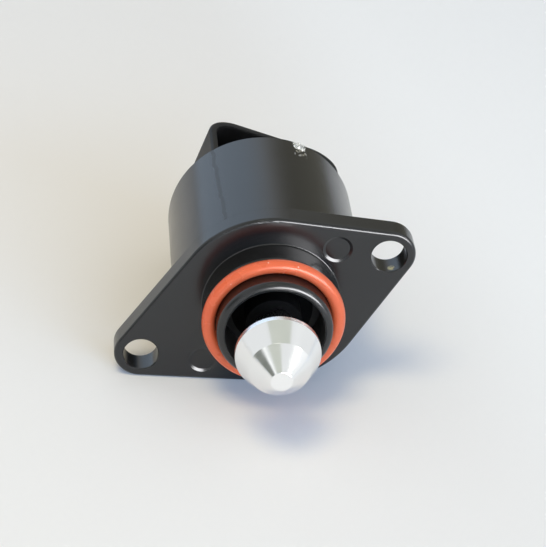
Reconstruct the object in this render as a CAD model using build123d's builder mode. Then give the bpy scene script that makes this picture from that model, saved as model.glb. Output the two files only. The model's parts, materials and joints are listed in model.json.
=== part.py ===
from build123d import *
import os
from math import asin, cos, degrees, radians, sin

os.makedirs("parts", exist_ok=True)

# Idle air control valve: a stepper motor in a steel can drives a pintle through a lead screw.
# All sizes are in millimetres. Heights along the valve's axis are counted from the flange's
# mounting face, positive towards the pintle's tip.

# Mounting flange
hole_spacing = 50.0
pattern_offset = -1.5  # the middle of the two holes lies beside the valve's axis
hole_radius = 3.3
hole_edge = 0.15
lobe_radius = 5.0
flange_thickness = 4.4
flange_edge = 0.7
flange_rear_edge = 0.15
mark_radius = 2.25  # round ejector marks sunk in the mounting face
mark_depth = 0.28
mark_slope = 0.5
mark_step = 0.04
mark_distance = 17.1
mark_angle = 20.0
mark_shift = (-0.5, -0.35)

# Spigot with the sealing ring
collar_radius = 12.75
collar_length = 4.8
collar_root = 0.2
collar_edge = 0.3
nose_radius = 10.65
nose_length = 5.4
nose_wall = 1.55
nose_round = 1.15
nose_lip = 0.3
ring_cord = 2.5

# Motor can
can_radius = 18.0
can_length = 26.4
can_wall = 0.9
can_corner = 0.2
can_rim_edge = 0.2
can_mouth = 11.45
stake_angles = (42.0, 222.0)
stake_width = 2.2
stake_length = 2.6
stake_dent = 0.45
stake_reach = 0.5
stake_round = 0.55

# Pintle and lead screw
pintle_radius = 7.75
pintle_rim = 1.0
pintle_edge = 0.15
pintle_stand = 15.9  # height of the pintle's rear rim
first_cone = 4.2
shoulder_radius = 5.65
second_cone = 3.8
tip_radius = 1.95
skirt_wall = 1.1
skirt_depth = 1.6
boss_radius = 4.3
boss_drop = 1.5
screw_radius = 2.5
screw_length = 17.0
screw_point = 0.4
shank_radius = 3.4
shank_flat = 2.6
shank_length = 12.5
tail_radius = 2.0
tail_length = 5.5
travel_in = 6.5

# Guide that keeps the lead screw from turning
guide_neck_wall = 1.75
guide_tail_wall = 1.55
guide_flange_radius = 7.5
guide_flange = 1.0
guide_neck = 4.8
guide_tail = 1.8
bore_floor = 1.2

# Front ball bearing
bearing_bore = 4.5
bearing_radius = 8.5
bearing_width = 4.0
ball_radius = 1.1
ball_count = 9
ball_play = 0.08
race_shoulder = 0.75
cage_wall = 0.9
cage_width = 3.0
bearing_relief = 0.5
bearing_setback = 0.1

# Rotor
magnet_radius = 9.0
magnet_bore = 6.0
magnet_length = 16.5
hub_setback = 0.2
hub_shoulder = 1.8
hub_shoulder_radius = 5.6
nut_length = 10.4
nut_relief = 0.7
journal_radius = 2.5
journal_end_play = 0.3
bush_wall = 1.7
bush_length = 3.8
washer_rim = 5.2
washer_thickness = 0.35
washer_rise = 0.4
washer_play = 0.2

# Stator: two phases, each with a coil between two sets of claws
phase_length = 9.8
claw_count = 6
claw_thickness = 0.9
claw_reach = 7.4
claw_root_width = 4.2
claw_tip_width = 2.6
pole_plate = 1.0
cup_wall = 1.0
bobbin_wall = 0.7
coil_margin = 1.25  # winding to the bobbin's brim

# Rear cap with the plug socket
cap_stand = 1.2
cap_edge = 0.4
cap_web = 3.0
cap_ring = 3.6
cap_boss_wall = 1.7
seal_cord = 1.1
seal_setback = 1.75
connector_angle = 45.0
shroud_width = 27.6
shroud_shift = -0.4  # the socket's middle lies beside the valve's axis
shroud_depth = 13.5
shroud_rim = 10.8
shroud_foot = 9.6
shroud_corner = 6.0
shroud_edge = 0.6
side_wall = 1.6
rear_wall = 1.9
front_wall = 1.4
socket_depth = 12.6
key_width = 1.4
key_height = 0.9
key_spacing = 11.0
latch_width = 6.5
latch_height = 5.0
latch_reach = 1.6
latch_drop = 2.0
pin_count = 4
pin_pitch = 5.0
pin_width = 2.8
pin_thickness = 0.8
pin_stand = 8.4
pin_setback = 4.0
pin_leg_drop = 5.2
pin_leg_gap = 1.1  # end of the leg to the stator
pin_tip = 0.35

# Clearances
fit = 0.02  # pieces pressed or seated together
slide = 0.05  # pieces that run or slide in one another
thread_play = 0.1  # lead screw in its nut
room = 0.2  # pieces that pass one another without touching
air_gap = 0.3  # rotor to claws

# The valve lies on its can and on the left lobe of its flange, so it is rolled about its axis.
left_hole = pattern_offset - hole_spacing / 2
right_hole = pattern_offset + hole_spacing / 2
roll = degrees(asin((can_radius - lobe_radius) / -left_hole))
across = Vector(cos(radians(roll)), 0, sin(radians(roll)))
upright = Vector(-sin(radians(roll)), 0, cos(radians(roll)))
valve_axis = Axis((0, 0, 0), (0, -1, 0))
valve = Plane(origin=(0, 0, 0), x_dir=across, z_dir=(0, -1, 0))
section = Plane(origin=(0, 0, 0), x_dir=across, z_dir=-upright)

# Heights along the axis that several pieces share
bore_radius = nose_radius - nose_wall
nose_front = collar_length + nose_length
can_front = -flange_thickness
can_inside = can_radius - can_wall
can_rear = can_front - can_length
stator_front = can_front - can_wall
stator_middle = stator_front - phase_length
stator_rear = stator_middle - phase_length
bearing_rear = stator_front + bearing_setback
bearing_front = bearing_rear + bearing_width
ball_height = (bearing_rear + bearing_front) / 2
pitch_radius = (bearing_bore + bearing_radius) / 2
groove_radius = ball_radius + ball_play
race_wall = (bearing_radius - bearing_bore - cage_wall) / 2 - slide
relief_floor = bearing_front + bearing_relief
guide_radius = shank_radius + slide + guide_neck_wall
guide_tail_radius = shank_radius + slide + guide_tail_wall
hub_front = bearing_front - hub_setback
magnet_front = bearing_rear - hub_shoulder
magnet_rear = magnet_front - magnet_length
cap_front = stator_rear
cap_rear = can_rear - cap_stand
cap_radius = can_inside - slide
web_front = cap_rear + cap_web
bush_front = magnet_rear - washer_rise - washer_thickness - washer_play
bush_rear = bush_front - bush_length
bush_radius = journal_radius + bush_wall
claw_inside = magnet_radius + air_gap
claw_outside = claw_inside + claw_thickness
cup_radius = can_inside - slide
shank_rear = pintle_stand - boss_drop - shank_length
screw_rear = shank_rear - screw_length


def radial_plane(angle):
    """Plane that faces outwards from the axis, with its x across and its y towards the rear."""
    outwards = across * cos(radians(angle)) + upright * sin(radians(angle))
    sideways = across * sin(radians(angle)) - upright * cos(radians(angle))
    return Plane(origin=(0, 0, 0), x_dir=sideways, z_dir=outwards)


def turn(points, mode=Mode.ADD):
    """Turn a closed outline of radius and height about the valve's axis."""
    with BuildSketch(section) as outline:
        with BuildLine():
            Polyline(*points, close=True)
        make_face()
    revolve(outline.sketch, axis=valve_axis, mode=mode)


def finish(piece, name):
    """Name a finished piece and write it."""
    piece.part.label = name
    export_step(piece.part, f"parts/{name}.step")


# Flange body: the diamond flange, flush with the can, its spigot and the seat of the front bearing
# in one casting
hole_places = [(left_hole, 0), (right_hole, 0)]
mark_reach = Vector(mark_distance, 0).rotate(Axis.Z, mark_angle)
mark_places = [Vector(*mark_shift) + mark_reach, Vector(*mark_shift) - mark_reach]

with BuildPart() as flange_body:
    with BuildSketch(valve):
        Circle(can_radius)
        with Locations(*hole_places):
            Circle(lobe_radius)
        make_hull()
    extrude(amount=-flange_thickness)
    fillet(flange_body.faces().sort_by(valve_axis)[-1].edges(), flange_edge)
    fillet(flange_body.faces().sort_by(valve_axis)[0].edges(), flange_rear_edge)
    with BuildSketch(section):
        with BuildLine():
            root_radius = collar_radius + collar_root
            Polyline((0, stator_front), (can_mouth - slide, stator_front), (can_mouth - slide, can_front / 2),
                     (root_radius, can_front / 2), (root_radius, 0))
            CenterArc((root_radius, collar_root), collar_root, 270, -90)
            Polyline((collar_radius, collar_root), (collar_radius, collar_length - collar_edge),
                     (collar_radius - collar_edge, collar_length), (nose_radius, collar_length),
                     (nose_radius, nose_front), (0, nose_front), (0, stator_front))
        make_face()
    revolve(axis=valve_axis)
    turn([(0, stator_front), (bearing_radius + fit, stator_front), (bearing_radius + fit, bearing_front),
          (bearing_radius - race_shoulder, bearing_front), (bearing_radius - race_shoulder, relief_floor),
          (guide_tail_radius + fit, relief_floor), (guide_tail_radius + fit, bore_floor),
          (bore_radius, bore_floor), (bore_radius, nose_front), (0, nose_front)], Mode.SUBTRACT)
    fillet(flange_body.edges().group_by(valve_axis)[-1].sort_by(SortBy.RADIUS)[-1], nose_round)
    fillet(flange_body.edges().group_by(valve_axis)[-1].sort_by(SortBy.RADIUS)[0], nose_lip)
    with BuildSketch(valve):
        with Locations(*hole_places):
            Circle(hole_radius)
    extrude(amount=-flange_thickness, mode=Mode.SUBTRACT)
    round_edges = flange_body.edges().filter_by(GeomType.CIRCLE)
    chamfer(round_edges.filter_by(lambda e: abs(e.radius - hole_radius) < fit), hole_edge)
    with BuildSketch(valve):
        with Locations(*mark_places):
            Circle(mark_radius)
    extrude(amount=-mark_depth, mode=Mode.SUBTRACT)
    face_edges = flange_body.edges().filter_by(GeomType.CIRCLE).filter_by_position(valve_axis, -fit, fit)
    mark_rims = face_edges.filter_by(lambda e: abs(e.radius - mark_radius) < fit)
    mounting_face = flange_body.faces().filter_by(GeomType.PLANE).filter_by_position(valve_axis, -fit, fit)[0]
    chamfer(mark_rims, mark_slope, mark_depth - mark_step, reference=mounting_face)
finish(flange_body, "flange_body")

# Sealing ring on the nose, against the front of the collar
with BuildPart() as o_ring:
    with BuildSketch(section):
        with Locations((nose_radius + fit + ring_cord / 2, collar_length + fit + ring_cord / 2)):
            Circle(ring_cord / 2)
    revolve(axis=valve_axis)
finish(o_ring, "o_ring")

# Motor can: a drawn steel cup, staked into a groove of the rear cap at two places on its rim
with BuildPart() as motor_can:
    with BuildSketch(section) as can_cut:
        with BuildLine():
            Polyline((can_mouth, can_front), (can_radius, can_front), (can_radius, can_rear),
                     (can_inside, can_rear), (can_inside, stator_front), (can_mouth, stator_front),
                     close=True)
        make_face()
        corner = can_cut.vertices().sort_by_distance(section.from_local_coords((can_radius, can_front)))
        fillet(corner[0], can_corner)
    revolve(axis=valve_axis)
    chamfer(motor_can.edges().group_by(valve_axis)[0], can_rim_edge)
    for angle in stake_angles:
        stake_plane = radial_plane(angle)
        stake_place = (0, -can_rear - stake_length / 2)
        with BuildSketch(stake_plane.offset(can_inside - stake_reach)):
            with Locations(stake_place):
                RectangleRounded(stake_width, stake_length - 2 * can_rim_edge, stake_round)
        extrude(amount=stake_reach + can_wall / 2)
        with BuildSketch(stake_plane.offset(can_radius - stake_dent)):
            with Locations(stake_place):
                Rectangle(stake_width, stake_length)
        extrude(amount=can_wall, mode=Mode.SUBTRACT)
finish(motor_can, "motor_can")

# Rear cap: a plug in the can's mouth that carries the rear bush and the socket of the wiring plug
socket = radial_plane(connector_angle)
outwards_axis = Axis((0, 0, 0), socket.z_dir)
blade_plane = Plane(origin=(0, 0, 0), x_dir=socket.z_dir, z_dir=-socket.x_dir)
shroud_rear = -cap_rear + shroud_depth
socket_front = -cap_rear + front_wall
socket_rear = shroud_rear - rear_wall
socket_width = shroud_width - 2 * side_wall
socket_floor = shroud_rim - socket_depth
blade_depth = socket_front + pin_setback
leg_height = socket_floor - pin_leg_drop
seal_middle = cap_front - seal_setback
seal_radius = can_inside - fit - seal_cord / 2
stake_groove = can_rear + stake_length
pin_places = [shroud_shift + pin_pitch * (i - (pin_count - 1) / 2) for i in range(pin_count)]


def blade_outline(gap):
    """Side view of a bent terminal: a blade up in the socket and a leg into the can."""
    half = pin_thickness / 2 + gap
    tip = socket_floor + pin_stand
    leg_end = pin_leg_gap - stator_rear
    return [(tip, blade_depth - half), (tip, blade_depth + half),
            (leg_height - half, blade_depth + half), (leg_height - half, leg_end),
            (leg_height + half, leg_end), (leg_height + half, blade_depth - half)]


with BuildPart() as connector_cap:
    with BuildSketch(socket.offset(-shroud_foot)) as shroud:
        with Locations((shroud_shift, shroud_rear)):
            Rectangle(shroud_width, shroud_depth + cap_stand / 2, align=(Align.CENTER, Align.MAX))
        fillet(shroud.vertices().group_by(Axis.Y)[-1], shroud_corner)
    extrude(amount=shroud_foot + shroud_rim)
    with BuildSketch(socket.offset(socket_floor)) as cavity:
        with Locations((shroud_shift, socket_rear)):
            Rectangle(socket_width, socket_rear - socket_front, align=(Align.CENTER, Align.MAX))
        fillet(cavity.vertices().group_by(Axis.Y)[-1], shroud_corner - rear_wall)
    extrude(amount=socket_depth, mode=Mode.SUBTRACT)
    fillet(connector_cap.faces().sort_by(outwards_axis)[-1].edges(), shroud_edge)
    with BuildSketch(socket.offset(socket_floor)):
        with Locations(*[(shroud_shift + side * key_spacing / 2, socket_rear) for side in (-1, 1)]):
            Rectangle(key_width, 2 * key_height)
    extrude(amount=socket_depth - latch_drop)
    latch_top = shroud_rim - latch_drop
    latch_foot = latch_top - latch_height
    latch_root = shroud_rear - rear_wall / 2
    with BuildSketch(blade_plane.offset(-shroud_shift)):
        with BuildLine():
            Polyline((latch_top, latch_root), (latch_foot, latch_root),
                     (latch_foot, shroud_rear + latch_reach), (latch_top, shroud_rear), close=True)
        make_face()
    extrude(amount=latch_width / 2, both=True)
    boss_outside = bush_radius + cap_boss_wall
    turn([(bush_radius + fit, bush_front), (boss_outside, bush_front), (boss_outside, web_front),
          (cap_radius - cap_ring, web_front), (cap_radius - cap_ring, cap_front), (cap_radius, cap_front),
          (cap_radius, cap_rear + cap_edge), (cap_radius - cap_edge, cap_rear), (0, cap_rear), (0, bush_rear),
          (bush_radius + fit, bush_rear)])
    seal_seat = seal_radius - seal_cord / 2 - fit
    seal_half = seal_cord / 2 + fit
    turn([(seal_seat, seal_middle - seal_half), (cap_radius, seal_middle - seal_half),
          (cap_radius, seal_middle + seal_half), (seal_seat, seal_middle + seal_half)], Mode.SUBTRACT)
    groove_floor = can_inside - stake_reach - fit
    turn([(groove_floor, can_rear), (cap_radius, can_rear), (cap_radius, stake_groove),
          (groove_floor, stake_groove)], Mode.SUBTRACT)
    for place in pin_places:
        with BuildSketch(blade_plane.offset(-place)):
            with BuildLine():
                Polyline(*blade_outline(fit), close=True)
            make_face()
        extrude(amount=pin_width / 2 + fit, both=True, mode=Mode.SUBTRACT)
finish(connector_cap, "connector_cap")

# Four bent terminals
for number, place in enumerate(pin_places, start=1):
    with BuildPart() as terminal:
        with BuildSketch(blade_plane.offset(-place)):
            with BuildLine():
                Polyline(*blade_outline(0), close=True)
            make_face()
        extrude(amount=pin_width / 2, both=True)
        chamfer(terminal.faces().sort_by(outwards_axis)[-1].edges(), pin_tip)
    finish(terminal, f"terminal_{number}")

# Seal between cap and can
with BuildPart() as cap_seal:
    with BuildSketch(section):
        with Locations((seal_radius, seal_middle)):
            Circle(seal_cord / 2)
    revolve(axis=valve_axis)
finish(cap_seal, "cap_seal")


def claw_gaps(root, tip, first):
    """Cut the gaps that leave tapered claws standing on a sleeve, from its root to its tip."""
    pitch = 2 * sin(radians(180 / claw_count)) * claw_outside
    for step in range(claw_count):
        plane = radial_plane(first + (step + 0.5) * 360 / claw_count)
        root_half = (pitch - claw_root_width) / 2
        tip_half = (pitch - claw_tip_width) / 2
        with BuildSketch(plane.offset(claw_inside - claw_thickness)) as gap:
            with BuildLine():
                Polyline((-root_half, -root), (root_half, -root), (tip_half, -tip), (-tip_half, -tip),
                         close=True)
            make_face()
        extrude(gap.sketch, amount=3 * claw_thickness, mode=Mode.SUBTRACT)


def stator_phase(name, end, first):
    """One phase: a cup and a plate with interleaved claws around a coil on its bobbin."""
    way = 1 if end < stator_middle else -1
    plate_face = end + way * pole_plate
    tip = plate_face + way * claw_reach
    with BuildPart() as cup:
        turn([(claw_inside, end), (cup_radius, end), (cup_radius, stator_middle + way * -pole_plate),
              (cup_radius - cup_wall, stator_middle + way * -pole_plate), (cup_radius - cup_wall, plate_face),
              (claw_outside, plate_face), (claw_outside, tip), (claw_inside, tip)])
        claw_gaps(plate_face, tip, first)
    finish(cup, f"stator_cup_{name}")
    inner_face = stator_middle - way * pole_plate
    inner_tip = inner_face - way * claw_reach
    with BuildPart() as plate:
        turn([(claw_inside, stator_middle), (cup_radius, stator_middle), (cup_radius, inner_face),
              (claw_outside, inner_face), (claw_outside, inner_tip), (claw_inside, inner_tip)])
        claw_gaps(inner_face, inner_tip, first + 180 / claw_count)
    finish(plate, f"stator_plate_{name}")
    drum = claw_outside + slide
    brim = cup_radius - cup_wall - slide
    wound = drum + bobbin_wall
    near = plate_face + way * fit
    far = inner_face - way * fit
    with BuildPart() as bobbin:
        turn([(drum, near), (brim, near), (brim, near + way * bobbin_wall), (wound, near + way * bobbin_wall),
              (wound, far - way * bobbin_wall), (brim, far - way * bobbin_wall), (brim, far), (drum, far)])
    finish(bobbin, f"bobbin_{name}")
    lift = bobbin_wall + fit
    with BuildPart() as coil:
        turn([(wound + fit, near + way * lift), (brim - coil_margin, near + way * lift),
              (brim - coil_margin, far - way * lift), (wound + fit, far - way * lift)])
    finish(coil, f"coil_{name}")


stator_phase("front", stator_front, 0)
stator_phase("rear", stator_rear, 90 / claw_count)

# Front ball bearing: two grooved races, a ring of balls and their cage
with BuildPart() as outer_race:
    turn([(bearing_radius - race_wall, bearing_rear), (bearing_radius, bearing_rear),
          (bearing_radius, bearing_front), (bearing_radius - race_wall, bearing_front)])
    with BuildSketch(section) as groove:
        with Locations((pitch_radius, ball_height)):
            Circle(groove_radius)
    revolve(axis=valve_axis, mode=Mode.SUBTRACT)
finish(outer_race, "bearing_outer_race")

with BuildPart() as inner_race:
    turn([(bearing_bore + fit, bearing_rear), (bearing_bore + race_wall, bearing_rear),
          (bearing_bore + race_wall, bearing_front), (bearing_bore + fit, bearing_front)])
    revolve(groove.sketch, axis=valve_axis, mode=Mode.SUBTRACT)
finish(inner_race, "bearing_inner_race")

with BuildPart(valve.offset(ball_height)) as balls:
    with PolarLocations(pitch_radius, ball_count):
        Sphere(ball_radius)
finish(balls, "bearing_balls")

with BuildPart() as cage:
    turn([(pitch_radius - cage_wall / 2, ball_height - cage_width / 2),
          (pitch_radius + cage_wall / 2, ball_height - cage_width / 2),
          (pitch_radius + cage_wall / 2, ball_height + cage_width / 2),
          (pitch_radius - cage_wall / 2, ball_height + cage_width / 2)])
    for step in range(ball_count):
        with BuildSketch(radial_plane(step * 360 / ball_count)):
            with Locations((0, -ball_height)):
                Circle(groove_radius)
        extrude(amount=bearing_radius, mode=Mode.SUBTRACT)
finish(cage, "bearing_cage")

# Rotor: a ring magnet on a moulded hub that is also the nut of the lead screw
with BuildPart() as hub:
    shank_way = shank_rear - travel_in
    nut_front = shank_way - nut_relief
    nut_rear = nut_front - nut_length
    turn([(shank_radius + room, hub_front), (bearing_bore, hub_front), (bearing_bore, bearing_rear),
          (hub_shoulder_radius, bearing_rear), (hub_shoulder_radius, magnet_front),
          (magnet_bore - fit, magnet_front), (magnet_bore - fit, magnet_rear), (journal_radius, magnet_rear),
          (journal_radius, bush_rear + journal_end_play), (0, bush_rear + journal_end_play),
          (0, magnet_rear + nut_relief), (screw_radius + nut_relief, magnet_rear + nut_relief),
          (screw_radius + nut_relief, nut_rear), (screw_radius + thread_play, nut_rear),
          (screw_radius + thread_play, nut_front), (shank_radius + room, nut_front)])
finish(hub, "rotor_hub")

with BuildPart() as magnet:
    turn([(magnet_bore, magnet_front), (magnet_radius, magnet_front), (magnet_radius, magnet_rear),
          (magnet_bore, magnet_rear)])
finish(magnet, "rotor_magnet")

# Rear bush in the cap, and the sprung washer that takes up the rotor's end play
with BuildPart() as bush:
    turn([(journal_radius + slide, bush_front), (bush_radius, bush_front), (bush_radius, bush_rear),
          (journal_radius + slide, bush_rear)])
finish(bush, "rear_bush")

with BuildPart() as washer:
    turn([(journal_radius + room, bush_front + washer_rise), (washer_rim, bush_front),
          (washer_rim, bush_front + washer_thickness),
          (journal_radius + room, bush_front + washer_rise + washer_thickness)])
finish(washer, "preload_washer")

# Guide sleeve: its two flats hold the lead screw's shank from turning
with BuildPart() as guide:
    neck_top = bore_floor + guide_flange + guide_neck
    turn([(0, bore_floor - guide_tail), (guide_tail_radius, bore_floor - guide_tail),
          (guide_tail_radius, bore_floor), (guide_flange_radius, bore_floor),
          (guide_flange_radius, bore_floor + guide_flange), (guide_radius, bore_floor + guide_flange),
          (guide_radius, neck_top), (0, neck_top)])
    with BuildSketch(valve.offset(bore_floor - guide_tail)):
        Circle(shank_radius + slide)
        Rectangle(2 * (shank_radius + slide), 2 * (shank_flat + slide), mode=Mode.INTERSECT)
    extrude(amount=guide_tail + guide_flange + guide_neck, mode=Mode.SUBTRACT)
finish(guide, "guide_sleeve")

# Lead screw: threaded rear, flatted shank and a tail that is pressed into the pintle
with BuildPart() as screw:
    shank_front = shank_rear + shank_length
    with BuildSketch(valve.offset(shank_rear)):
        Circle(shank_radius)
        Rectangle(2 * shank_radius, 2 * shank_flat, mode=Mode.INTERSECT)
    extrude(amount=shank_length)
    with BuildSketch(valve.offset(screw_rear)):
        Circle(screw_radius)
    extrude(amount=screw_length)
    chamfer(screw.edges().group_by(valve_axis)[0], screw_point)
    with BuildSketch(valve.offset(shank_front)):
        Circle(tail_radius)
    extrude(amount=tail_length)
finish(screw, "lead_screw")

# Pintle: a turned double cone with a hollow skirt behind its rim
with BuildPart() as pintle:
    cone_base = pintle_stand + pintle_rim
    cone_middle = cone_base + first_cone
    tip_height = cone_middle + second_cone
    skirt_floor = pintle_stand + skirt_depth
    turn([(tail_radius + fit, shank_front), (boss_radius, shank_front), (boss_radius, skirt_floor),
          (pintle_radius - skirt_wall, skirt_floor), (pintle_radius - skirt_wall, pintle_stand),
          (pintle_radius, pintle_stand), (pintle_radius, cone_base), (shoulder_radius, cone_middle),
          (tip_radius, tip_height), (0, tip_height), (0, shank_front + tail_length),
          (tail_radius + fit, shank_front + tail_length)])
    round_edges = pintle.edges().filter_by(GeomType.CIRCLE)
    turned_edges = round_edges.filter_by_position(valve_axis, cone_base, tip_height)
    fillet(turned_edges.filter_by(lambda e: abs(e.radius - tail_radius - fit) > fit), pintle_edge)
finish(pintle, "pintle")
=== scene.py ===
import json
import math
import bpy
from mathutils import Matrix, Quaternion, Vector


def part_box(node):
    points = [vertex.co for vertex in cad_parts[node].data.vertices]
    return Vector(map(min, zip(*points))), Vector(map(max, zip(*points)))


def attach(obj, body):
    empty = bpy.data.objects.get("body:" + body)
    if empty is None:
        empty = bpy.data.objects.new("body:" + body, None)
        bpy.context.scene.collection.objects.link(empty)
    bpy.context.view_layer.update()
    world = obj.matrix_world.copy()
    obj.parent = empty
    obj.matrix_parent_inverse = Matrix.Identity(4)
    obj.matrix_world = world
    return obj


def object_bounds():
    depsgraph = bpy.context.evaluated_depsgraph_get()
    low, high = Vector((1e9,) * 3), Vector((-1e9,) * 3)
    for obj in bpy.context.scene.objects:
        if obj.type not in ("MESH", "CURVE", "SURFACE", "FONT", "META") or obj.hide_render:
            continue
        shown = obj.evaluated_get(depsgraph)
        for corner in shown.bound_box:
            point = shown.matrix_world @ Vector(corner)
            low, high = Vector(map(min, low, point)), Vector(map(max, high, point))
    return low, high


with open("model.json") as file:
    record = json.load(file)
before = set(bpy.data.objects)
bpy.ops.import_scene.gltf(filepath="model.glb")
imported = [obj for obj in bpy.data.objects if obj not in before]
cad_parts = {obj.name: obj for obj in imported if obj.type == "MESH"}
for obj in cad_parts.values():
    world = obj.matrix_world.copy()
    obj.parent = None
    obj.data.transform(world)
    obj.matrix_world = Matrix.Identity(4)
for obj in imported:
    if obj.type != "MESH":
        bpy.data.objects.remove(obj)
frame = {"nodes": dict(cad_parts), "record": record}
cadLow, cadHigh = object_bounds()
nodes = frame["nodes"]
scene = bpy.context.scene
scene.view_settings.view_transform = "Standard"
print("frame loaded:", len(nodes), "nodes")

mm = 0.001
mounts = {mount["name"]: mount for mount in frame["record"]["mounts"]}
holeMiddle = Vector(mounts["flange_bolts"]["pos_m"])
across = -holeMiddle.normalized()                    # from the left flange hole to the right one
canLow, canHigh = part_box("motor_can")
canRadius = (canHigh.z - canLow.z) / 2
canFront, canRear = canLow.y, canHigh.y
valveRoll = math.atan2(across.z, across.x)
stakeTurn = math.radians(42.0)                       # from the line of the holes, about the valve's axis
stakeAngles = [stakeTurn + valveRoll, stakeTurn + valveRoll - math.pi]
middling = (0.3, 0.7)                                # the range that holds most values of a noise
smoothAngle = math.radians(35)


# small helpers for the node trees

def newMaterial(name):
    material = bpy.data.materials.new(name)
    material.use_nodes = True
    tree = material.node_tree
    shader = tree.nodes["Principled BSDF"]
    coords = tree.nodes.new("ShaderNodeTexCoord").outputs["Object"]
    return material, tree, shader, coords


def setSockets(shader, values):
    for socket, value in values.items():
        shader.inputs[socket].default_value = value


def mapped(tree, coords, stretch):
    node = tree.nodes.new("ShaderNodeMapping")
    node.inputs["Scale"].default_value = stretch
    tree.links.new(coords, node.inputs["Vector"])
    return node.outputs["Vector"]


def noise(tree, coords, grain, detail=3.0, roughness=0.5):
    node = tree.nodes.new("ShaderNodeTexNoise")      # grain is the size of one patch, in metres
    node.inputs["Scale"].default_value = 1 / grain
    node.inputs["Detail"].default_value = detail
    node.inputs["Roughness"].default_value = roughness
    tree.links.new(coords, node.inputs["Vector"])
    return node.outputs["Fac"]


def spots(tree, coords, spacing):
    node = tree.nodes.new("ShaderNodeTexVoronoi")
    node.inputs["Scale"].default_value = 1 / spacing
    tree.links.new(coords, node.inputs["Vector"])
    return node.outputs["Distance"]


def ranged(tree, value, low, high, outLow=0.0, outHigh=1.0):
    node = tree.nodes.new("ShaderNodeMapRange")
    node.interpolation_type = "SMOOTHSTEP"
    node.inputs["From Min"].default_value = low
    node.inputs["From Max"].default_value = high
    node.inputs["To Min"].default_value = outLow
    node.inputs["To Max"].default_value = outHigh
    tree.links.new(value, node.inputs["Value"])
    return node.outputs["Result"]


def maths(tree, operation, first, second=None):
    node = tree.nodes.new("ShaderNodeMath")
    node.operation = operation
    for socket, value in zip(node.inputs, (first, second)):
        if isinstance(value, (int, float)):
            socket.default_value = value
        elif value is not None:
            tree.links.new(value, socket)
    return node.outputs["Value"]


def mixColour(tree, factor, first, second):
    node = tree.nodes.new("ShaderNodeMix")
    node.data_type = "RGBA"
    tree.links.new(factor, node.inputs["Factor"])
    for socket, value in zip((node.inputs[6], node.inputs[7]), (first, second)):
        if isinstance(value, tuple):
            socket.default_value = (*value, 1)
        else:
            tree.links.new(value, socket)
    return node.outputs[2]


def bumped(tree, shader, height, depth, after=None):
    node = tree.nodes.new("ShaderNodeBump")          # depth in metres for a height of 1
    node.inputs["Distance"].default_value = depth
    tree.links.new(height, node.inputs["Height"])
    if after is not None:
        tree.links.new(after, node.inputs["Normal"])
    tree.links.new(node.outputs["Normal"], shader.inputs["Normal"])
    return node.outputs["Normal"]


def axisParts(tree, coords):
    # radius and angle about the valve's axis, and depth along it
    node = tree.nodes.new("ShaderNodeSeparateXYZ")
    tree.links.new(coords, node.inputs["Vector"])
    x, y, z = node.outputs
    squares = [maths(tree, "MULTIPLY", side, side) for side in (x, z)]
    radius = maths(tree, "SQRT", maths(tree, "ADD", *squares))
    return radius, maths(tree, "ARCTAN2", z, x), y


# black paint of the can and of the flange body

paintGloss = {"Specular IOR Level": 0.5, "IOR": 1.6}


def withinSpot(tree, coords, middle, radius):
    node = tree.nodes.new("ShaderNodeVectorMath")    # 1 near a point of the object, fading to 0 at the radius
    node.operation = "DISTANCE"
    node.inputs[1].default_value = middle
    tree.links.new(coords, node.inputs[0])
    return ranged(tree, node.outputs["Value"], radius, 0.6 * radius)


canLook = {
    "dark": (0.0050, 0.0051, 0.0054), "pale": (0.0066, 0.0067, 0.0070), "bare": (0.78, 0.77, 0.75),
    "cloud": 9 * mm, "peel": 1.1 * mm, "peelDepth": 0.0010 * mm, "roughLow": 0.2, "roughHigh": 0.24,
    "streakAngle": math.radians(122.2), "streakLean": 2.734, "streakWidth": 0.05, "streakRough": 0.40,
    "streakWander": 6 * mm, "streakSway": 0.016,
    "fleckGrain": 0.42 * mm, "fleckReach": 0.085, "fleckFrom": 5.6 * mm, "fleckTo": 4.4 * mm,
    "fleckLay": (1, 0.5, 1), "fleckCut": (0.53, 0.58),
}


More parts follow.
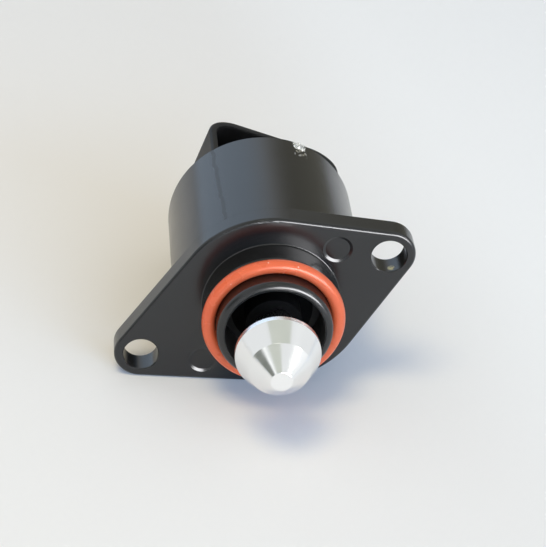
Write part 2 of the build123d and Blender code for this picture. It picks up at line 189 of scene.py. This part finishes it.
def canPaint():
    material, tree, shader, coords = newMaterial("can_semi_gloss_black")
    cloud = noise(tree, coords, canLook["cloud"])
    paint = mixColour(tree, cloud, canLook["dark"], canLook["pale"])
    angle, depth = axisParts(tree, coords)[1:]
    # flecks of bare steel below each stake, where the paint has cracked
    low = ranged(tree, depth, canRear - canLook["fleckFrom"], canRear - canLook["fleckTo"])
    lying = mapped(tree, coords, canLook["fleckLay"])
    grains = ranged(tree, noise(tree, lying, canLook["fleckGrain"], 1.0), *canLook["fleckCut"])
    bare = 0.0
    for stake in stakeAngles:
        aside = maths(tree, "ABSOLUTE", maths(tree, "SUBTRACT", angle, stake))
        near = ranged(tree, aside, canLook["fleckReach"], 0.6 * canLook["fleckReach"])
        bare = maths(tree, "MAXIMUM", near, bare)
    bare = maths(tree, "MULTIPLY", maths(tree, "MULTIPLY", bare, low), grains)
    tree.links.new(mixColour(tree, bare, paint, canLook["bare"]), shader.inputs["Base Color"])
    tree.links.new(bare, shader.inputs["Metallic"])
    # a dull wavy rub along the left of the can
    sway = canLook["streakSway"]
    alongOnly = mapped(tree, coords, (0, 1, 0))
    wander = ranged(tree, noise(tree, alongOnly, canLook["streakWander"]), 0.25, 0.75, -sway, sway)
    lean = maths(tree, "MULTIPLY", depth, canLook["streakLean"])
    aside = maths(tree, "SUBTRACT", maths(tree, "SUBTRACT", angle, canLook["streakAngle"]), lean)
    offLine = maths(tree, "ABSOLUTE", maths(tree, "ADD", aside, wander))
    rub = ranged(tree, offLine, canLook["streakWidth"], 0.2 * canLook["streakWidth"])
    gloss = ranged(tree, cloud, *middling, canLook["roughLow"], canLook["roughHigh"])
    rubbed = maths(tree, "MULTIPLY", rub, canLook["streakRough"])
    tree.links.new(maths(tree, "MAXIMUM", gloss, rubbed), shader.inputs["Roughness"])
    bumped(tree, shader, noise(tree, coords, canLook["peel"]), canLook["peelDepth"])
    setSockets(shader, paintGloss)
    return material


flangeLook = {
    "dark": (0.0050, 0.0051, 0.0053), "pale": (0.0072, 0.0073, 0.0075), "wear": (0.5, 0.5, 0.49),
    "cloud": 6 * mm, "peel": 0.8 * mm, "peelDepth": 0.0015 * mm, "roughLow": 0.20, "roughHigh": 0.25,
    # boreShadeColour is painted shade: the near-black colour inside the bore
    "wearGrain": 0.8 * mm, "boreRadius": 9.1 * mm, "boreShadeColour": (0.004, 0.004, 0.0045), "boreRough": 0.75,
    "boreFade": (0.12 * mm, 0.02 * mm), "edgeFrom": (0.25, 0.5), "edgeTo": (0.96, 0.75),
    "chipCut": (0.70, 0.74),
    "yellowFleck": (0.48, 0.45, 0.28), "yellowFleckAt": (21.6 * mm, 1.2 * mm, 7.8 * mm), "yellowFleckRadius": 1.1 * mm,
    "yellowFleckGrain": 0.5 * mm, "yellowFleckCut": (0.38, 0.5),
}


def flangePaint():
    material, tree, shader, coords = newMaterial("flange_satin_black")
    cloud = noise(tree, coords, flangeLook["cloud"])
    paint = mixColour(tree, cloud, flangeLook["dark"], flangeLook["pale"])
    normal = tree.nodes.new("ShaderNodeSeparateXYZ")
    tree.links.new(tree.nodes.new("ShaderNodeNewGeometry").outputs["True Normal"], normal.inputs["Vector"])
    facing = maths(tree, "ABSOLUTE", normal.outputs["Y"])
    # bare chips on the edges that lie aslant between face and wall
    onEdge = maths(tree, "MULTIPLY", ranged(tree, facing, *flangeLook["edgeFrom"]),
                   ranged(tree, facing, *flangeLook["edgeTo"]))
    chips = ranged(tree, noise(tree, coords, flangeLook["wearGrain"], 5.0, 0.7), *flangeLook["chipCut"])
    bare = maths(tree, "MULTIPLY", onEdge, chips)
    worn = mixColour(tree, bare, paint, flangeLook["wear"])
    # painted shade: the bore is coloured darker inside, and made dull; a small pale yellowish fleck sits in
    # the right hole
    radius = axisParts(tree, coords)[0]
    inBore = ranged(tree, radius, *(flangeLook["boreRadius"] + fade for fade in flangeLook["boreFade"]))
    boreShaded = mixColour(tree, inBore, worn, flangeLook["boreShadeColour"])
    # a small ragged pale yellowish fleck, also dull, on the wall of the right hole
    fleckSpot = withinSpot(tree, coords, flangeLook["yellowFleckAt"], flangeLook["yellowFleckRadius"])
    ragged = ranged(tree, noise(tree, coords, flangeLook["yellowFleckGrain"]), *flangeLook["yellowFleckCut"])
    fleckPatch = maths(tree, "MULTIPLY", fleckSpot, ragged)
    tree.links.new(mixColour(tree, fleckPatch, boreShaded, flangeLook["yellowFleck"]), shader.inputs["Base Color"])
    tree.links.new(bare, shader.inputs["Metallic"])
    gloss = ranged(tree, cloud, *middling, flangeLook["roughLow"], flangeLook["roughHigh"])
    dull = maths(tree, "MULTIPLY", maths(tree, "MAXIMUM", inBore, fleckPatch), flangeLook["boreRough"])
    tree.links.new(maths(tree, "MAXIMUM", gloss, dull), shader.inputs["Roughness"])
    bumped(tree, shader, noise(tree, coords, flangeLook["peel"], 4.0), flangeLook["peelDepth"])
    setSockets(shader, paintGloss)
    return material


# orange sealing ring, and the black seal inside the can

ringLook = {
    "orange": (0.75, 0.138, 0.05), "deep": (0.68, 0.11, 0.038), "dust": (0.85, 0.55, 0.42),
    "cloud": 4 * mm, "skin": 0.35 * mm, "skinDepth": 0.004 * mm, "rough": (0.26, 0.34),
    "dustSpacing": 3.0 * mm, "dustCut": (0.055, 0.03), "dustHeight": 0.02 * mm,
}
sealLook = {
    "dark": (0.012, 0.012, 0.012), "pale": (0.02, 0.02, 0.02), "rough": (0.5, 0.65),
    "cloud": 2 * mm, "skin": 0.3 * mm, "skinDepth": 0.005 * mm,
}


def ringRubber():
    material, tree, shader, coords = newMaterial("ring_orange_silicone")
    cloud = noise(tree, coords, ringLook["cloud"])
    body = mixColour(tree, cloud, ringLook["deep"], ringLook["orange"])
    speck = ranged(tree, spots(tree, coords, ringLook["dustSpacing"]), *ringLook["dustCut"])
    tree.links.new(mixColour(tree, speck, body, ringLook["dust"]), shader.inputs["Base Color"])
    tree.links.new(ranged(tree, cloud, *middling, *ringLook["rough"]), shader.inputs["Roughness"])
    skin = bumped(tree, shader, noise(tree, coords, ringLook["skin"]), ringLook["skinDepth"])
    bumped(tree, shader, speck, ringLook["dustHeight"], skin)
    setSockets(shader, {"Specular IOR Level": 0.45, "Subsurface Weight": 0.08, "Subsurface Scale": 0.8 * mm})
    return material


def plainRubber():
    material, tree, shader, coords = newMaterial("seal_black_rubber")
    cloud = noise(tree, coords, sealLook["cloud"])
    tree.links.new(mixColour(tree, cloud, sealLook["dark"], sealLook["pale"]), shader.inputs["Base Color"])
    tree.links.new(ranged(tree, cloud, *middling, *sealLook["rough"]), shader.inputs["Roughness"])
    bumped(tree, shader, noise(tree, coords, sealLook["skin"]), sealLook["skinDepth"])
    return material


# turned aluminium of the pintle

pintleLook = {
    "bright": (0.93, 0.93, 0.92), "dull": (0.89, 0.895, 0.895), "cloud": 3 * mm,
    "grooveGrain": 0.1 * mm, "grooveDepth": 0.0002 * mm, "roughLow": 0.16, "roughHigh": 0.21,
    "tip": (0.99, 0.995, 0.995), "tipRadius": 2.0 * mm,
}


def turnedAluminium():
    material, tree, shader, coords = newMaterial("pintle_turned_aluminium")
    radius, depth = axisParts(tree, coords)[::2]
    rings = tree.nodes.new("ShaderNodeCombineXYZ")
    tree.links.new(radius, rings.inputs["X"])
    tree.links.new(depth, rings.inputs["Y"])
    groove = noise(tree, rings.outputs["Vector"], pintleLook["grooveGrain"], 2.0)
    cloud = noise(tree, coords, pintleLook["cloud"])
    turned = mixColour(tree, cloud, pintleLook["dull"], pintleLook["bright"])
    # painted reflection: the tip is coloured brighter than the cones, for the brighter floor it reflects
    paintedTipReflection = ranged(tree, radius, pintleLook["tipRadius"], 0.95 * pintleLook["tipRadius"])
    tree.links.new(mixColour(tree, paintedTipReflection, turned, pintleLook["tip"]), shader.inputs["Base Color"])
    tree.links.new(ranged(tree, cloud, *middling, pintleLook["roughLow"], pintleLook["roughHigh"]),
                   shader.inputs["Roughness"])
    bumped(tree, shader, groove, pintleLook["grooveDepth"])
    setSockets(shader, {"Metallic": 1.0})
    return material


# moulded plastics

plasticLooks = {
    "cap_dark_grey": {"dark": (0.012, 0.012, 0.0125), "pale": (0.017, 0.017, 0.0175),
                      "rough": (0.46, 0.56), "shine": 0.22},
    # the guide's black plastic is coloured darker still, as painted shade deep in the bore
    "guide_black_and_painted_shade": {"dark": (0.003, 0.003, 0.003), "pale": (0.0042, 0.0042, 0.0042),
                    "rough": (0.7, 0.85), "shine": 0.06},
    "bobbin_natural": {"dark": (0.55, 0.50, 0.40), "pale": (0.66, 0.62, 0.52),
                       "rough": (0.4, 0.55), "shine": 0.5},
    "hub_brown": {"dark": (0.05, 0.035, 0.025), "pale": (0.08, 0.06, 0.045),
                  "rough": (0.4, 0.55), "shine": 0.5},
}
plasticGrain = {"flow": 5 * mm, "lay": (1, 0.5, 1), "skin": 0.25 * mm, "skinDepth": 0.0012 * mm}
# where the painted shade inside the socket lies, its near-black colour and its dullness
socketShadeLook = {
    "halfWidth": 12.2 * mm, "ahead": 2.6 * mm, "behind": 12.8 * mm, "slack": 0.36 * mm, "below": 0.22 * mm,
    "dark": (0.0022, 0.0022, 0.0023), "rough": 0.85,
}


def inSocketShade(tree, coords):
    mount = mounts["wiring_socket"]
    middle, upwards = Vector(mount["pos_m"]), Vector(mount["axis"])
    sideways = Vector((0, 1, 0)).cross(upwards)
    slack = socketShadeLook["slack"]
    measured = []
    for direction in (upwards, sideways):
        node = tree.nodes.new("ShaderNodeVectorMath")
        node.operation = "DOT_PRODUCT"
        node.inputs[1].default_value = direction
        tree.links.new(coords, node.inputs[0])
        measured.append(maths(tree, "SUBTRACT", node.outputs["Value"], middle.dot(direction)))
    low = ranged(tree, measured[0], 0, -socketShadeLook["below"])
    aside = maths(tree, "ABSOLUTE", measured[1])
    between = ranged(tree, aside, socketShadeLook["halfWidth"] + 2 * slack, socketShadeLook["halfWidth"] + slack)
    depth = axisParts(tree, coords)[2]
    front, rear = canRear + socketShadeLook["ahead"], canRear + socketShadeLook["behind"]
    ahead = ranged(tree, depth, front - 2 * slack, front - slack)
    behind = ranged(tree, depth, rear + 2 * slack, rear + slack)
    inWidth = maths(tree, "MULTIPLY", low, between)
    return maths(tree, "MULTIPLY", inWidth, maths(tree, "MULTIPLY", ahead, behind))


def mouldedPlastic(name):
    look = plasticLooks[name]
    material, tree, shader, coords = newMaterial(name + "_plastic")
    flow = noise(tree, mapped(tree, coords, plasticGrain["lay"]), plasticGrain["flow"])
    colour = mixColour(tree, flow, look["dark"], look["pale"])
    rough = ranged(tree, flow, 0.25, 0.75, *look["rough"])
    if name == "cap_dark_grey":                      # painted shade: the inside of the deep socket is coloured near black, and made dull
        deep = inSocketShade(tree, coords)
        colour = mixColour(tree, deep, colour, socketShadeLook["dark"])
        rough = maths(tree, "MAXIMUM", rough, maths(tree, "MULTIPLY", deep, socketShadeLook["rough"]))
    tree.links.new(colour, shader.inputs["Base Color"])
    tree.links.new(rough, shader.inputs["Roughness"])
    bumped(tree, shader, noise(tree, coords, plasticGrain["skin"]), plasticGrain["skinDepth"])
    setSockets(shader, {"Specular IOR Level": look["shine"]})
    return material


# metals of the pieces inside

metalLooks = {
    "ground_steel": {"dark": (0.54, 0.54, 0.53), "pale": (0.59, 0.59, 0.58),
                     "rough": (0.26, 0.32), "lay": (1, 1, 1)},
    "pressed_steel": {"dark": (0.40, 0.40, 0.39), "pale": (0.50, 0.50, 0.48),
                      "rough": (0.34, 0.5), "lay": (1, 1, 1)},
    "tinned_brass": {"dark": (0.66, 0.60, 0.47), "pale": (0.76, 0.73, 0.66),
                     "rough": (0.22, 0.36), "lay": (0.2, 1, 0.2)},
    "sintered_bronze": {"dark": (0.42, 0.27, 0.12), "pale": (0.58, 0.40, 0.20),
                        "rough": (0.4, 0.55), "lay": (1, 1, 1)},
    "ferrite": {"dark": (0.035, 0.035, 0.038), "pale": (0.06, 0.06, 0.063),
                "rough": (0.5, 0.7), "lay": (1, 1, 1)},
}


metalGrain = {"lines": 0.3 * mm, "depth": 0.0004 * mm, "ferriteSheen": 0.2}


def innerMetal(name):
    look = metalLooks[name]
    material, tree, shader, coords = newMaterial(name)
    lines = noise(tree, mapped(tree, coords, look["lay"]), metalGrain["lines"], 4.0)
    tree.links.new(mixColour(tree, lines, look["dark"], look["pale"]), shader.inputs["Base Color"])
    tree.links.new(ranged(tree, lines, *middling, *look["rough"]), shader.inputs["Roughness"])
    bumped(tree, shader, lines, metalGrain["depth"])
    setSockets(shader, {"Metallic": metalGrain["ferriteSheen"] if name == "ferrite" else 1.0})
    return material


windingLook = {
    "enamel": (0.55, 0.20, 0.075), "gap": (0.16, 0.05, 0.02), "wire": 0.22 * mm, "wireDepth": 0.08 * mm,
    "cloud": 1 * mm, "rough": (0.25, 0.4),
}


def copperWinding():
    material, tree, shader, coords = newMaterial("enamelled_copper_winding")
    depth = axisParts(tree, coords)[2]
    phase = maths(tree, "MULTIPLY", depth, 2 * math.pi / windingLook["wire"])
    turns = ranged(tree, maths(tree, "SINE", phase), -1.0, 1.0)
    colour = mixColour(tree, turns, windingLook["gap"], windingLook["enamel"])
    tree.links.new(colour, shader.inputs["Base Color"])
    cloud = noise(tree, coords, windingLook["cloud"])
    tree.links.new(ranged(tree, cloud, *middling, *windingLook["rough"]), shader.inputs["Roughness"])
    bumped(tree, shader, turns, windingLook["wireDepth"])
    setSockets(shader, {"Metallic": 0.8})
    return material


finishes = {
    "flange_body": flangePaint(), "motor_can": canPaint(), "o_ring": ringRubber(), "cap_seal": plainRubber(),
    "pintle": turnedAluminium(), "connector_cap": mouldedPlastic("cap_dark_grey"),
    "guide_sleeve": mouldedPlastic("guide_black_and_painted_shade"), "rear_bush": innerMetal("sintered_bronze"),
    "rotor_magnet": innerMetal("ferrite"),
}
groupFinishes = [
    (("terminal_1", "terminal_2", "terminal_3", "terminal_4"), innerMetal("tinned_brass")),
    (("stator_cup_front", "stator_cup_rear", "stator_plate_front", "stator_plate_rear"),
     innerMetal("pressed_steel")),
    (("bearing_outer_race", "bearing_inner_race", "bearing_balls", "preload_washer", "lead_screw"),
     innerMetal("ground_steel")),
    (("bobbin_front", "bobbin_rear"), mouldedPlastic("bobbin_natural")),
    (("coil_front", "coil_rear"), copperWinding()),
    (("rotor_hub", "bearing_cage"), mouldedPlastic("hub_brown")),
]
for names, finish in groupFinishes:
    for name in names:
        finishes[name] = finish
for name, node in nodes.items():
    node.data.materials.clear()
    node.data.materials.append(finishes[name])
print("materials given to", len(finishes), "nodes")


# bare crumpled steel where the can's rim is staked into the cap

stakeLook = {
    "width": 3.2 * mm, "length": 3.9 * mm, "cells": (34, 40), "under": 0.62 * mm, "overRim": 0.3 * mm,
    "swell": 0.72 * mm, "foot": 0.45, "lip": 0.12, "lipHeight": 0.1, "wall": 0.15 * mm,
    "lumps": 0.9 * mm, "lumpHeight": 0.5 * mm, "creases": 0.45 * mm, "creaseHeight": 0.3 * mm,
    "dark": (0.62, 0.62, 0.60), "pale": (0.88, 0.88, 0.86), "rough": (0.16, 0.3),
    "cloud": 0.5 * mm, "scratches": 0.15 * mm, "scratchDepth": 0.01 * mm,
}


def stakeSteel():
    material, tree, shader, coords = newMaterial("stake_bare_steel")
    cloud = noise(tree, coords, stakeLook["cloud"], 4.0)
    tree.links.new(mixColour(tree, cloud, stakeLook["dark"], stakeLook["pale"]), shader.inputs["Base Color"])
    tree.links.new(ranged(tree, cloud, *middling, *stakeLook["rough"]), shader.inputs["Roughness"])
    bumped(tree, shader, noise(tree, coords, stakeLook["scratches"]), stakeLook["scratchDepth"])
    setSockets(shader, {"Metallic": 1.0})
    return material


def creasing(piece, name, grain, height, group):
    texture = bpy.data.textures.new(name, "CLOUDS")
    texture.noise_scale = grain
    texture.noise_type = "HARD_NOISE"
    texture.noise_depth = 2
    displace = piece.modifiers.new(name, "DISPLACE")
    displace.texture = texture
    displace.texture_coords = "LOCAL"
    displace.direction = "Z"
    displace.strength = height
    displace.mid_level = 0.4
    displace.vertex_group = group
    bpy.ops.object.modifier_apply(modifier=name)


def stake(name, angle, finish):
    bpy.ops.object.select_all(action="DESELECT")
    columns, rows = stakeLook["cells"]
    bpy.ops.mesh.primitive_grid_add(x_subdivisions=columns, y_subdivisions=rows, size=1)
    piece = bpy.context.object
    piece.name = name
    piece.scale = (stakeLook["width"], stakeLook["length"], 1)
    bpy.ops.object.transform_apply(scale=True)
    # the sheet swells in the middle and towards the rim, and its border stays down in the can's wall
    raised = piece.vertex_groups.new(name="raised")
    for vertex in piece.data.vertices:
        sideways = 2 * vertex.co.x / stakeLook["width"]
        along = vertex.co.y / stakeLook["length"] + 0.5
        rise = min(1, along / stakeLook["foot"]) ** 1.5
        fall = min(1, (1 - along) / stakeLook["lip"] + stakeLook["lipHeight"])
        hump = (1 - sideways ** 8) * rise * fall
        raised.add([vertex.index], hump, "REPLACE")
        vertex.co.z = stakeLook["swell"] * hump
    # the creases of the two stakes differ, as each reads the texture at its own place
    for vertex in piece.data.vertices:
        vertex.co.x += angle * mm
    creasing(piece, name + "_lumps", stakeLook["lumps"], stakeLook["lumpHeight"], "raised")
    creasing(piece, name + "_creases", stakeLook["creases"], stakeLook["creaseHeight"], "raised")
    for vertex in piece.data.vertices:
        vertex.co.x -= angle * mm
    solid = piece.modifiers.new("wall", "SOLIDIFY")
    solid.thickness = stakeLook["wall"]
    solid.offset = -1
    bpy.ops.object.modifier_apply(modifier="wall")
    outward = Vector((math.cos(angle), 0, math.sin(angle)))
    sideways = Vector((0, 1, 0)).cross(outward)
    turned = Matrix((sideways, (0, 1, 0), outward)).transposed().to_4x4()
    middle = canRear + stakeLook["overRim"] - stakeLook["length"] / 2
    turned.translation = outward * (canRadius - stakeLook["under"]) + Vector((0, middle, 0))
    piece.matrix_world = turned
    bpy.ops.object.transform_apply(location=True, rotation=True, scale=True)
    bpy.ops.object.shade_smooth_by_angle(angle=smoothAngle)
    piece.data.materials.append(finish)
    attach(piece, "housing")


stakeFinish = stakeSteel()
for number, angle in enumerate(stakeAngles, 1):
    stake("rim_stake_%d" % number, angle, stakeFinish)
print("stakes modelled")


# the paint runs unbroken across the joint of can and flange

jointLook = {"proud": 0.005 * mm, "ahead": 0.45 * mm, "behind": 0.55 * mm, "wall": 0.25 * mm, "sides": 288}


def jointPaint():
    bpy.ops.object.select_all(action="DESELECT")
    front = canFront - jointLook["ahead"]
    width = jointLook["ahead"] + jointLook["behind"]
    bpy.ops.mesh.primitive_cylinder_add(
        vertices=jointLook["sides"], radius=canRadius + jointLook["proud"], depth=width,
        end_fill_type="NOTHING", location=(0, front + width / 2, 0), rotation=(math.pi / 2, 0, 0))
    band = bpy.context.object
    band.name = "joint_paint"
    wall = band.modifiers.new("wall", "SOLIDIFY")
    wall.thickness = jointLook["wall"]
    bpy.ops.object.modifier_apply(modifier="wall")
    bpy.ops.object.transform_apply(location=True, rotation=True, scale=True)
    bpy.ops.object.shade_smooth_by_angle(angle=smoothAngle)
    band.data.materials.append(finishes["motor_can"])
    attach(band, "housing")


jointPaint()
print("joint painted over")


# floor and light

floorLook = {
    "size": 6.0, "cloud": 0.09, "rough": 0.7, "shine": 0.2,
    # pale is painted light: the floor's colour towards the right
    "warm": (0.825, 0.80, 0.775), "cool": (0.84, 0.825, 0.805), "pale": (0.895, 0.885, 0.87),
    "paintedLightFrom": 0.03, "paintedLightTo": 0.08, "paintedLightLean": 0.25,
}


def paleFloor():
    bpy.ops.object.select_all(action="DESELECT")
    bpy.ops.mesh.primitive_plane_add(size=floorLook["size"], location=(0, 0, cadLow.z))
    floor = bpy.context.object
    floor.name = "floor"
    material, tree, shader, coords = newMaterial("pale_floor")
    cloud = noise(tree, coords, floorLook["cloud"])
    colour = mixColour(tree, cloud, floorLook["cool"], floorLook["warm"])
    place = tree.nodes.new("ShaderNodeSeparateXYZ")
    tree.links.new(coords, place.inputs["Vector"])
    lean = maths(tree, "MULTIPLY", place.outputs["Y"], floorLook["paintedLightLean"])
    along = maths(tree, "ADD", place.outputs["X"], lean)
    paintedLight = ranged(tree, along, floorLook["paintedLightFrom"], floorLook["paintedLightTo"])       # painted light: the floor is coloured paler towards the right
    tree.links.new(mixColour(tree, paintedLight, colour, floorLook["pale"]), shader.inputs["Base Color"])
    setSockets(shader, {"Roughness": floorLook["rough"], "Specular IOR Level": floorLook["shine"]})
    floor.data.materials.append(material)


lamps = {
    "front_left_high": {"at": (-0.18, -0.18, 0.65), "size": (0.24, 0.24), "watts": 1.9,
                        "colour": (1.0, 0.86, 0.53)},
    "front_window": {"at": (0.88, -1.70, 0.56), "size": (2.4, 0.8), "watts": 50.0,
                     "colour": (0.36, 0.60, 1.0)},
}


def softLights():
    aim = (cadLow + cadHigh) / 2
    for name, lamp in lamps.items():
        light = bpy.data.lights.new(name, "AREA")
        light.shape = "RECTANGLE"
        light.size, light.size_y = lamp["size"]
        light.energy = lamp["watts"]
        light.color = lamp["colour"]
        holder = bpy.data.objects.new(name, light)
        holder.location = lamp["at"]
        holder.rotation_mode = "QUATERNION"
        holder.rotation_quaternion = (aim - holder.location).to_track_quat("-Z", "Y")
        holder.visible_camera = False
        holder.visible_glossy = False                # shiny surfaces see the room instead
        scene.collection.objects.link(holder)


roomLook = {
    "fill": (0.55, 0.565, 0.58), "backdrop": (0.83, 0.84, 0.85), "walls": (0.84, 0.86, 0.87),
    # what shiny surfaces see around the table: each patch's middle, the angles from it in degrees where it is
    # full and where it has faded out, and its colour
    "patches": [
        {"towards": (0.0, 0.06, 1.0), "full": 24, "fade": 28, "colour": (0.60, 0.63, 0.57)},
        {"towards": (-0.30, -0.52, 0.80), "full": 16, "fade": 19, "colour": (0.60, 0.63, 0.57)},
        {"towards": (-0.45, 0.84, 0.32), "full": 12, "fade": 36, "colour": (0.92, 1.12, 1.36)},
        {"towards": (0.50, 0.80, 0.32), "full": 12, "fade": 32, "colour": (0.32, 0.31, 0.25)},
        {"towards": (-0.92, -0.36, 0.16), "full": 16, "fade": 20, "colour": (0.20, 0.215, 0.195)},
        {"towards": (0.16, -0.96, 0.22), "full": 7, "fade": 13, "colour": (18.0, 18.0, 18.4)},
        {"towards": (0.44, -0.85, 0.28), "full": 10, "fade": 17, "colour": (18.0, 18.0, 18.4)},
        {"towards": (0.70, -0.69, 0.16), "full": 7, "fade": 13, "colour": (18.0, 18.0, 18.4)},
        {"towards": (0.93, -0.25, 0.27), "full": 4, "fade": 28, "colour": (1.0, 1.02, 1.03)},
        {"towards": (-0.15, -0.22, 0.96), "full": 3, "fade": 6, "colour": (3.2, 3.1, 2.9)},
        {"towards": (0.72, -0.20, 0.66), "full": 4, "fade": 22, "colour": (1.08, 1.1, 1.1)},
        {"towards": (-0.69, -0.50, 0.52), "full": 2, "fade": 5, "colour": (1.25, 1.27, 1.25)},
        {"towards": (0.78, -0.37, 0.50), "full": 2, "fade": 7, "colour": (9.0, 9.0, 9.1)},
    ],
}


def studioWorld():
    world = bpy.data.worlds.new("studio")
    scene.world = world
    world.use_nodes = True
    tree = world.node_tree
    direction = tree.nodes.new("ShaderNodeTexCoord").outputs["Generated"]
    seen = roomLook["walls"]
    for patch in roomLook["patches"]:
        towards = tree.nodes.new("ShaderNodeVectorMath")
        towards.operation = "DOT_PRODUCT"
        towards.inputs[1].default_value = Vector(patch["towards"]).normalized()
        tree.links.new(direction, towards.inputs[0])
        near = ranged(tree, towards.outputs["Value"], math.cos(math.radians(patch["fade"])),
                      math.cos(math.radians(patch["full"])))
        seen = mixColour(tree, near, seen, patch["colour"])
    path = tree.nodes.new("ShaderNodeLightPath")
    shiny = maths(tree, "MAXIMUM", path.outputs["Is Glossy Ray"], path.outputs["Is Transmission Ray"])
    lit = mixColour(tree, shiny, roomLook["fill"], seen)
    shown = mixColour(tree, path.outputs["Is Camera Ray"], lit, roomLook["backdrop"])
    tree.links.new(shown, tree.nodes["Background"].inputs["Color"])


paleFloor()
softLights()
studioWorld()
print("floor and lamps placed")


# camera, fitted to the photo's edges in its frame of 546 by 547 pixels

view = {
    "at": (-46.36 * mm, -306.55 * mm, 201.15 * mm), "forward": (0.12276, 0.83863, -0.53069), "tilt": 7.665,
    "focalPixels": 2000.0, "framePixels": 547.0, "middlePixel": (267.5, 270.0), "frameMiddle": (273.0, 273.5),
}


def placeCamera():
    lens = bpy.data.cameras.new("camera")
    camera = bpy.data.objects.new("camera", lens)
    scene.collection.objects.link(camera)
    lens.sensor_width = 36.0
    lens.lens = lens.sensor_width * view["focalPixels"] / view["framePixels"]
    lens.shift_x = (view["frameMiddle"][0] - view["middlePixel"][0]) / view["framePixels"]
    lens.shift_y = (view["middlePixel"][1] - view["frameMiddle"][1]) / view["framePixels"]
    lens.clip_start = 0.01
    camera.location = view["at"]
    camera.rotation_mode = "QUATERNION"
    level = Vector(view["forward"]).to_track_quat("-Z", "Y")
    camera.rotation_quaternion = level @ Quaternion((0, 0, 1), math.radians(view["tilt"]))
    scene.camera = camera
    bpy.context.view_layer.update()
    print("camera right", [round(v, 4) for v in camera.matrix_world.col[0][:3]])


placeCamera()
